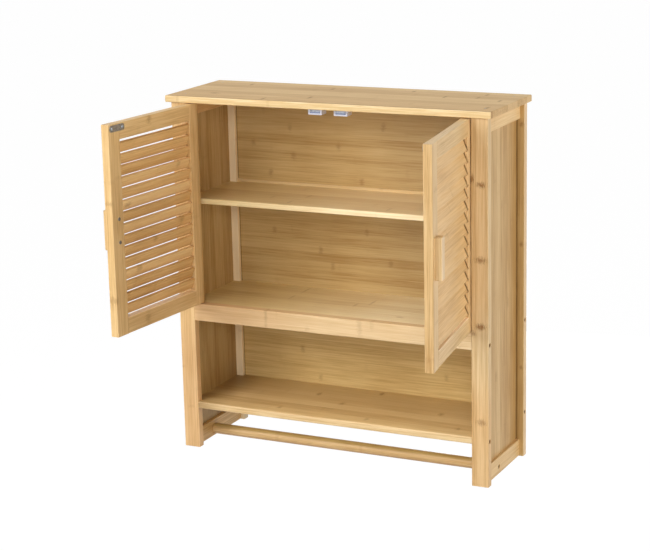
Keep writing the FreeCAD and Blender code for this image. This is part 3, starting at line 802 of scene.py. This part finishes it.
def frame_screw_spots():
    """Where the screws through the side frames end, and the way that their heads look, the towel bar's last."""
    side_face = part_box("right_front_stile")[1].x
    rail_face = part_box("right_side_bottom_rail")[1].x
    spots = []
    for points in solids_of("frame_screws"):
        side = 1 if points[0].x > 0 else -1
        tip = max(points, key=lambda point: point.x * side)
        ring = [point for point in points if abs(point.x - tip.x) < HAIR]
        middle = sum(ring, Vector()) / len(ring)
        spots.append((Vector((side * side_face, middle.y, middle.z)), X * side))
    low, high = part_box("towel_bar")
    middle = (low + high) / 2
    return spots + [(Vector((side * rail_face, middle.y, middle.z)), X * side) for side in (-1, 1)]


def seated(piece, place, out, radius, depth, sides):
    """Sinks a round seat for a screw head into a face that looks outwards."""
    carved(piece, rod("screw_seat", radius, place - out * depth, place + out * depth, sides))


def frame_seated(piece, low, high):
    """Sinks a seat for each of the frame's screws that ends on the piece."""
    for place, out in frame_screw_spots():
        if all(low[axis] - HAIR < place[axis] < high[axis] + HAIR for axis in range(3)):
            seated(piece, place, out, FRAME_SEAT_RADIUS, FRAME_SEAT_DEPTH, FRAME_SEAT_SIDES)


STILE_FINISHES = {"left_rear": PAINTED_LIGHT_STILE, "right_front": RIGHT_STILE, "right_rear": RIGHT_REAR_STILE}


def side_frames():
    under_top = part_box("top_board")[0].z
    for side in ("left", "right"):
        for place in ("front", "rear"):
            node = side + "_" + place + "_stile"
            low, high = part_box(node)
            stile = block(node + "_shaped", low, (high.x, high.y, under_top))
            rounded(stile, FRAME_ROUND, along(Z))
            rounded(stile, END_ROUND, lambda way, middle: middle.z < low.z + HAIR, END_STEPS)
            frame_seated(stile, low, high)
            placed(stile, "cabinet", STILE_FINISHES.get(side + "_" + place, STILE), [node])
        front_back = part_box(side + "_front_stile")[1].y
        rear_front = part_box(side + "_rear_stile")[0].y
        for place in ("top", "bottom"):
            node = side + "_side_" + place + "_rail"
            low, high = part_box(node)
            rail = block(node + "_shaped", (low.x, front_back, low.z), (high.x, rear_front, high.z))
            rounded(rail, FRAME_ROUND, along(Y))
            frame_seated(rail, low, high)
            rail_bamboo = LEFT_LOW_RAIL if node == "left_side_bottom_rail" else SIDE_RAIL
            placed(rail, "cabinet", rail_bamboo, [node])


def towel_bar():
    low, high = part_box("towel_bar")
    middle = (low + high) / 2
    radius = (high.z - low.z) / 2
    bar = rod("towel_bar_shaped", radius, (low.x, middle.y, middle.z), (high.x, middle.y, middle.z), BAR_SIDES)
    rounded(bar, END_ROUND, lambda way, point: crosses(way, X) and abs(point.x) > high.x - HAIR, END_STEPS)
    placed(bar, "cabinet", BAR, ["towel_bar"])


# Screws


def screw_head(name, radius, rise, place, out):
    """A low round head with a cross recess, standing on a face and looking outwards."""
    head = rod(name, radius, (0, 0, -rise), (0, 0, rise), HEAD_SIDES)
    rounded(head, rise * HEAD_DOME, lambda way, middle: crosses(way, Z) and middle.z > rise - HAIR, HEAD_STEPS)
    reach, half, floor = radius * RECESS_REACH, radius * RECESS_HALF, rise * RECESS_FLOOR
    for x, y in ((reach, half), (half, reach)):
        carved(head, block("recess", (-x, -y, floor), (x, y, rise * 2)))
    turn = Vector(out).to_track_quat("Z", "Y").to_matrix().to_4x4()
    return moved(head, Matrix.Translation(place) @ turn)


def screw_group(name, spots, radius, rise):
    """One head per spot; a spot is a place and the way that the head looks."""
    heads = [screw_head(name, radius, rise, place, out) for place, out in spots]
    return joined(heads, name)


def screws():
    spots = [(place - out * FRAME_SEAT_DEPTH, out) for place, out in frame_screw_spots()]
    for name, group in (("frame_screw", spots[:-2]), ("towel_bar_screw", spots[-2:])):
        heads = screw_group(name + "_heads", group, *FRAME_SCREW)
        placed(heads, "cabinet", DARK_STEEL, [name + "s"])

    stile_low, stile_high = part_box("right_rear_stile")
    low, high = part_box("hanger_plates")
    x, height = (stile_low.x + stile_high.x) / 2, (low.z + high.z) / 2
    spots = [
        ((side * x, BACK_SCREW_Y, height + way * HANGER_SCREW_SPACING / 2), Y)
        for side in (-1, 1) for way in (-1, 1)
    ]
    placed(screw_group("hanger_screw_heads", spots, *HANGER_SCREW), "cabinet", SCREW_STEEL)

    # Through the back rail into the middle of the shelf's thickness
    low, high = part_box("upper_shelf")
    height = (low.z + high.z) / 2
    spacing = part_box("shelf_back_rail")[1].x * 2 / RAIL_SCREW_COUNT
    spots = [
        ((spacing * (index - (RAIL_SCREW_COUNT - 1) / 2), BACK_SCREW_Y, height), Y)
        for index in range(RAIL_SCREW_COUNT)
    ]
    placed(screw_group("shelf_screw_heads", spots, *SHELF_SCREW), "cabinet", DARK_STEEL)


# Magnetic catches


def catches():
    for side in ("left", "right"):
        node = side + "_catch_body"
        low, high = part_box(node)
        ears = block(node + "_shaped", (low.x, low.y, high.z - EAR_THICK), high)
        rounded(ears, EAR_ROUND, along(Z), CATCH_STEPS)
        rounded(ears, RIM_ROUND, lambda way, middle: middle.z < high.z - EAR_THICK + HAIR, END_STEPS)
        body_low, body_high = low + X * EAR_LENGTH, high - X * EAR_LENGTH
        body = block("catch_housing", body_low, body_high)
        rounded(
            body, CATCH_ROUND, lambda way, middle: runs_along(way, Y) and middle.z < body_low.z + HAIR, CATCH_STEPS,
        )
        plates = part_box("catch_pole_plates")
        centre = (body_low + body_high) / 2
        reach = plates[1].x - abs(centre.x) + MOUTH_MARGIN
        mouth = block(
            "mouth",
            (centre.x - reach, plates[0].y - MOUTH_MARGIN, plates[0].z - MOUTH_MARGIN),
            (centre.x + reach, plates[0].y + MOUTH_DEPTH, plates[1].z + MOUTH_MARGIN),
        )
        carved(body, mouth)
        catch = joined([ears, body], node + "_shaped")
        placed(catch, "cabinet", WHITE_PLASTIC, [node])
        spots = [
            ((centre.x + way * (body_high.x - centre.x + EAR_LENGTH / 2), centre.y, high.z - EAR_THICK), -Z)
            for way in (-1, 1)
        ]
        heads = screw_group(side + "_catch_screw_heads", spots, *CATCH_SCREW)
        placed(heads, "cabinet", SCREW_STEEL)


# Doors


# Painted shade and painted light along some edges of the doors, and how they fade in
# Painted shadow on the hinge stile's half-round edge, beside the post
PAINTED_HINGE_SHADOW = {"left": (0.8, 0.77, 0.7), "right": (0.46, 0.4, 0.3)}
PAINTED_HINGE_SHADOW_FADE = (4.5, 1.0)
# Painted shadow lines along the slats' ends at the hinge stile
PAINTED_SLAT_END_SHADOW = {"left": (0.95, 0.93, 0.9), "right": (0.52, 0.46, 0.36)}
PAINTED_SLAT_END_SHADOW_FADE = (2.2, 1.2)
# Painted light on the top face of each door's bottom rail
PAINTED_RAIL_TOP_LIGHT = (1.3, 1.45, 1.9)
PAINTED_RAIL_TOP_LIGHT_FADE = (1.6, 0.9)
# Painted light on the handle's outer face
PAINTED_PULL_FACE_LIGHT = (1.14, 1.2, 1.4)
PAINTED_PULL_FACE_LIGHT_FADE = (1.8, 0.6)

DOOR_TINT = {"left": (1.05, 1.0, 0.86), "right": (1.02, 1.0, 0.93)}
DOOR_STILE_BAMBOO = {"strip": 31.0, "shift": 8.0, "variety": 0.3, "tone": 0.05, "knuckles": 0.25, "fibre": 0.75}
SLAT_VARIETY = {"left": 0.8, "right": 0.35}

# How far each slat sits above its even place, from the lowest up, in mm: those of the left door sit loosely
SLAT_LIFTS = {
    "left": (0.45, 0.2, 0.3, 0.05, 0.35, 0.4, 0.2, 0.05, 0.3, 0.1, 0.25, 0.45, 0.2, -0.3, 0.3),
    "right": (0.0,) * SLAT_COUNT,
}

# Knuckles that stand out on the left door, as spots
DOOR_STILE_KNUCKLES = {"left": [(-256.1, 466.4, 8.0, 5.0, 0.35), (-88.4, 469.5, 5.0, 6.0, 0.35)], "right": []}
RAIL_KNUCKLES = {"left": [(350.8, 39.7, 8.0, 9.0, 0.4), (378.9, -307.8, 8.0, 10.0, 0.35)], "right": []}
SLAT_KNUCKLES = {
    "left": [
        (415.2, -98.8, 11.0, 5.5, 0.4), (262.4, -153.7, 8.0, 8.0, 0.35), (343.1, -171.6, 8.0, 8.0, 0.4),
        (393.8, -214.3, 9.0, 8.0, 0.4), (264.6, -53.8, 6.0, 8.0, 0.25), (428.7, -250.9, 6.0, 6.0, 0.4),
    ],
    "right": [],
}


def door_material(name, side, upright, **settings):
    """Bamboo whose grain follows a door as it stands at rest."""
    level = (swing(side).to_3x3() @ X).normalized()
    grain, across = (Z, level) if upright else (level, Z)
    return bamboo(side + "_" + name, grain, across, tint=DOOR_TINT[side], **settings)


def slat(name, low, high, height, margin=0.0):
    """A tilted slat with rounded long edges, from stile to stile, or a mortise with a margin around it."""
    middle = (low.y + high.y) / 2
    piece = block(
        name,
        (low.x, middle - SLAT_THICK / 2 - margin, height - SLAT_WIDTH / 2 - margin),
        (high.x, middle + SLAT_THICK / 2 + margin, height + SLAT_WIDTH / 2 + margin),
    )
    rounded(piece, SLAT_ROUND, along(X), SLAT_STEPS)
    centre = Matrix.Translation((0, middle, height))
    return moved(piece, centre @ Matrix.Rotation(-SLAT_TILT, 4, "X") @ centre.inverted())


def door(side):
    turn = swing(side)
    body = side + "_door"
    facing = 1 if side == "right" else -1
    level_way = (turn.to_3x3() @ X).normalized()
    pivot = Vector(hinge(side)["pos_m"]).dot(level_way) / MM
    # The stiles' bamboo, with a painted shadow along the hinge edge
    upright = door_material(
        "door_stile_bamboo", side, True, salt=21.0 + facing, seams=0.3, spots=DOOR_STILE_KNUCKLES[side],
        edges=[faded(ACROSS, pivot, -facing, PAINTED_HINGE_SHADOW_FADE, PAINTED_HINGE_SHADOW[side])], **DOOR_STILE_BAMBOO,
    )
    slats_low, slats_high = shut_box(side + "_door_slats", side)
    rise = SLAT_WIDTH * math.cos(SLAT_TILT) + SLAT_THICK * math.sin(SLAT_TILT)
    pitch = (slats_high.z - slats_low.z - rise) / (SLAT_COUNT - 1)
    lowest = slats_low.z + rise / 2
    slat_end = pivot + facing * (HINGE_TO_EDGE - STILE_WIDTH) / MM
    # The slats' bamboo, with painted shadow lines at their ends by the hinge stile
    slat_bamboo = door_material(
        "door_slat_bamboo", side, False, salt=27.0 + facing, strip=pitch / MM, shift=(pitch / 2 - lowest) / MM,
        variety=SLAT_VARIETY[side], seams=0.0, knuckles=0.2, fibre=0.5, shade=1.15, banding=0.2,
        spots=SLAT_KNUCKLES[side], edges=[faded(ALONG, slat_end, -facing, PAINTED_SLAT_END_SHADOW_FADE, PAINTED_SLAT_END_SHADOW[side])],
    )

    def finished(piece, material, nodes=()):
        placed(moved(piece, turn), body, material, nodes)

    # Free stile
    stile_low, stile_high = shut_box(side + "_door_free_stile", side)
    stile = block(side + "_free_stile_shaped", stile_low, stile_high)
    rounded(stile, DOOR_ROUND, along(Z))
    finished(stile, upright, [side + "_door_free_stile"])

    # Hinge stile, with its outer edge half round and the slats' mortises open in the other
    hinge_low, hinge_high = shut_box(side + "_door_hinge_stile", side)
    outer = hinge_high.x if facing > 0 else hinge_low.x
    half = (hinge_high.y - hinge_low.y) / 2
    stile = block(side + "_hinge_stile_shaped", hinge_low, hinge_high)
    rounded(stile, DOOR_ROUND, lambda way, middle: runs_along(way, Z) and abs(middle.x - outer) > half)
    rounded(
        stile, half - HAIR, lambda way, middle: runs_along(way, Z) and abs(middle.x - outer) < HAIR,
        HALF_ROUND_STEPS,
    )
    inner = (stile_high.x, hinge_low.x) if facing > 0 else (hinge_high.x, stile_low.x)
    face = inner[1] if facing > 0 else inner[0]
    mortise_low = Vector((face - MORTISE_SHOWN, slats_low.y, 0))
    mortise_high = Vector((face + MORTISE_SHOWN, slats_high.y, 0))
    first = slat("mortise", mortise_low, mortise_high, lowest, MORTISE_MARGIN)
    moved(first, Matrix.Translation(-Y * MORTISE_MARGIN))
    mortises = [first] + [copied(first, Z * pitch * index) for index in range(1, SLAT_COUNT)]
    carved(stile, joined(mortises, "mortises"))
    finished(stile, upright, [side + "_door_hinge_stile"])

    # Rails
    for place in ("top", "bottom"):
        node = side + "_door_" + place + "_rail"
        low, high = shut_box(node, side)
        if place == "top":
            low.z -= RAIL_LOWERED
        else:
            high.z -= RAIL_LOWERED
        rail = block(node + "_shaped", (inner[0], low.y, low.z), (inner[1], high.y, high.z))
        rounded(rail, DOOR_ROUND, along(X))
        # Painted light on the bottom rail's top face
        lit = [faded(ACROSS, high.z / MM, -1, PAINTED_RAIL_TOP_LIGHT_FADE, PAINTED_RAIL_TOP_LIGHT)] if place == "bottom" else []
        level = door_material(
            "door_" + place + "_rail_bamboo", side, False, strip=40.0, salt=24.0 + facing, variety=0.2, seams=0.1,
            knuckles=0.2, fibre=0.75, edges=lit, spots=RAIL_KNUCKLES[side],
        )
        finished(rail, level, [node])

    # Slats
    ends_low = Vector((inner[0] - SLAT_SEAT_SHOWN, slats_low.y, 0))
    ends_high = Vector((inner[1] + SLAT_SEAT_SHOWN, slats_high.y, 0))
    lifts = [lift * MM for lift in SLAT_LIFTS[side]]
    first = slat(side + "_slats_shaped", ends_low, ends_high, lowest + lifts[0])
    rest = [copied(first, Z * (pitch * index + lifts[index] - lifts[0])) for index in range(1, SLAT_COUNT)]
    finished(joined([first] + rest, side + "_slats_shaped"), slat_bamboo, [side + "_door_slats"])

    # Handle
    low, high = shut_box(side + "_door_handle", side)
    low += Y * PULL_INSET
    pull = block(side + "_handle_shaped", low, high)
    rounded(pull, PULL_ROUND, lambda way, middle: middle.y < high.y - HAIR, PULL_STEPS)
    pull_face = (turn @ low).dot(turn.to_3x3() @ Y) / MM
    # The handle's bamboo, with painted light on its outer face
    pull_bamboo = door_material(
        "handle_bamboo", side, True, salt=21.0 + facing, seams=0.0, shade=0.93,
        edges=[faded(THROUGH, pull_face, 1, PAINTED_PULL_FACE_LIGHT_FADE, PAINTED_PULL_FACE_LIGHT)], **DOOR_STILE_BAMBOO,
    )
    finished(pull, pull_bamboo, [side + "_door_handle"])

    # Strike plate and screws
    low, high = shut_box(side + "_strike_plate", side)
    plate = block(side + "_strike_plate_shaped", low, high)
    rounded(plate, STRIKE_ROUND, along(Y), STRIKE_STEPS)
    rounded(plate, RIM_ROUND, lambda way, middle: middle.y > high.y - HAIR, END_STEPS)
    finished(plate, STEEL, [side + "_strike_plate"])
    middle = (low + high) / 2
    spots = [((middle.x + way * STRIKE_SCREW_SPACING / 2, high.y, middle.z), Y) for way in (-1, 1)]
    finished(screw_group(side + "_strike_screw_heads", spots, *STRIKE_SCREW), SCREW_STEEL)

    node = side + "_handle_screws"
    low, high = shut_box(node, side)
    radius = (high.x - low.x) / 2
    spots = [((low.x + radius, stile_high.y, height), Y) for height in (low.z + radius, high.z - radius)]
    heads = screw_group(side + "_handle_screw_heads", spots, radius - PULL_SCREW_INSET, PULL_SCREW_RISE)
    finished(heads, GREY_STEEL, [node])


# Nodes whose shape is right as it is


def kept_nodes():
    finishes = {
        "middle_board": MIDDLE_BOARD,
        "shelf_back_rail": BACK_RAIL,
        "middle_back_rail": BACK_RAIL,
        "upper_back_panel": BACK,
        "middle_back_panel": BACK,
        "lower_back_panel": LOW_BACK,
        "left_side_panel": LEFT_PANEL,
        "right_side_panel": RIGHT_PANEL,
        "left_shelf_cleat": CLEAT,
        "right_shelf_cleat": CLEAT,
        "hanger_plates": STEEL,
        "catch_pole_plates": PALE_STEEL,
        "catch_magnets": MAGNET,
        "left_pivot_pins": SCREW_STEEL,
        "right_pivot_pins": SCREW_STEEL,
    }
    for name, material in finishes.items():
        mesh = frame["nodes"][name].data
        mesh.materials.clear()
        mesh.materials.append(material)


# Studio


# Lamps around the cabinet: name, degrees right of the front, degrees up, and watts
LAMPS = [
    ("left_key", -35, 18, 44),
    ("front_key", -15, 32, 34),
    ("front_right", 24, 16, 37),
    ("high_left", -25, 55, 14),
    ("right_side", 88, 10, 56),
    ("overhead", 0, 82, 28),
    ("rear", 190, -8, 30),
]
LAMP_SIZE = 1.2
LAMP_DISTANCE = 3.6
LIT_SPOT = Vector((0, -0.1, -0.27))
WHITE = (1.0, 1.0, 1.0, 1.0)
FLOOR_WHITE = (0.9, 0.9, 0.9, 1.0)
FLOOR_ROUGHNESS = 0.9
FLOOR_HEIGHT = -1.35
FLOOR_GLOW = 1.04
FLOOR_GLOW_SHARE = 0.95
FLOOR_SIZE = 40.0


def lamp(name, azimuth, elevation, power):
    """A square soft lamp that looks at the cabinet."""
    light = bpy.data.lights.new(name, "AREA")
    light.shape = "SQUARE"
    light.size = LAMP_SIZE
    light.energy = power
    lamp_object = bpy.data.objects.new(name, light)
    bpy.context.scene.collection.objects.link(lamp_object)
    turn, lift = math.radians(azimuth), math.radians(elevation)
    way = Vector((math.sin(turn) * math.cos(lift), -math.cos(turn) * math.cos(lift), math.sin(lift)))
    lamp_object.location = LIT_SPOT + way * LAMP_DISTANCE
    lamp_object.rotation_euler = (-way).to_track_quat("-Z", "Y").to_euler()


def studio():
    """Lamps, a white floor, and a world that shows white and gives no light of its own."""
    world = bpy.data.worlds.new("studio")
    bpy.context.scene.world = world
    world.use_nodes = True
    nodes, links = world.node_tree.nodes, world.node_tree.links
    unlit = nodes["Background"]
    unlit.inputs["Color"].default_value = WHITE
    unlit.inputs["Strength"].default_value = 0.0
    white = nodes.new("ShaderNodeBackground")
    white.inputs["Color"].default_value = WHITE
    white.inputs["Strength"].default_value = 1.0
    rays = nodes.new("ShaderNodeLightPath")
    seen = rays.outputs["Is Camera Ray"]
    for kind in ("Is Glossy Ray", "Is Transmission Ray"):
        either = nodes.new("ShaderNodeMath")
        either.operation = "MAXIMUM"
        links.new(seen, either.inputs[0])
        links.new(rays.outputs[kind], either.inputs[1])
        seen = either.outputs[0]
    mix = nodes.new("ShaderNodeMixShader")
    links.new(seen, mix.inputs[0])
    links.new(unlit.outputs[0], mix.inputs[1])
    links.new(white.outputs[0], mix.inputs[2])
    links.new(mix.outputs[0], nodes["World Output"].inputs["Surface"])

    for settings in LAMPS:
        lamp(*settings)

    nothing_selected()
    bpy.ops.mesh.primitive_plane_add(size=FLOOR_SIZE, location=(0, 0, FLOOR_HEIGHT))
    floor = bpy.context.object
    floor.name = "floor"
    finish = Finish("floor_white")
    finish.shader.inputs["Base Color"].default_value = FLOOR_WHITE
    finish.shader.inputs["Roughness"].default_value = FLOOR_ROUGHNESS
    glow = finish.add("ShaderNodeEmission", {"Color": WHITE, "Strength": FLOOR_GLOW})
    path = finish.add("ShaderNodeLightPath")
    shown = finish.math("MAXIMUM", path.outputs["Is Camera Ray"], path.outputs["Is Glossy Ray"])
    shown = finish.math("MAXIMUM", shown, path.outputs["Is Transmission Ray"])
    shown = finish.times(shown, FLOOR_GLOW_SHARE)
    blend = finish.add("ShaderNodeMixShader", {0: shown, 1: finish.shader.outputs[0], 2: glow.outputs[0]})
    finish.links.new(blend.outputs[0], finish.nodes["Material Output"].inputs["Surface"])
    floor.data.materials.append(finish.material)


# Camera, as the photograph was taken
SENSOR_WIDTH = 36.0
CAMERA_PLACE = (1.4033, -3.0850, 0.5562)
CAMERA_AZIMUTH = math.radians(25.94)
CAMERA_ELEVATION = math.radians(14.01)
CAMERA_ROLL = math.radians(-1.32)
FOCAL_PIXELS = 1885.6
PICTURE_WIDTH = 650.0


def camera():
    data = bpy.data.cameras.new("camera")
    data.sensor_width = SENSOR_WIDTH
    data.lens = FOCAL_PIXELS / PICTURE_WIDTH * SENSOR_WIDTH
    view = bpy.data.objects.new("camera", data)
    bpy.context.scene.collection.objects.link(view)
    azimuth, elevation, roll = CAMERA_AZIMUTH, CAMERA_ELEVATION, CAMERA_ROLL
    back = Vector((
        math.sin(azimuth) * math.cos(elevation), -math.cos(azimuth) * math.cos(elevation), math.sin(elevation),
    ))
    right = Vector((math.cos(azimuth), math.sin(azimuth), 0))
    up = back.cross(right)
    turned_right = right * math.cos(roll) + up * math.sin(roll)
    turned_up = up * math.cos(roll) - right * math.sin(roll)
    turn = Matrix((turned_right, turned_up, back)).transposed()
    view.matrix_world = Matrix.Translation(CAMERA_PLACE) @ turn.to_4x4()
    bpy.context.scene.camera = view


boards()
side_frames()
towel_bar()
screws()
catches()
door("left")
door("right")
kept_nodes()
studio()
camera()
bpy.context.scene.view_settings.view_transform = "Standard"
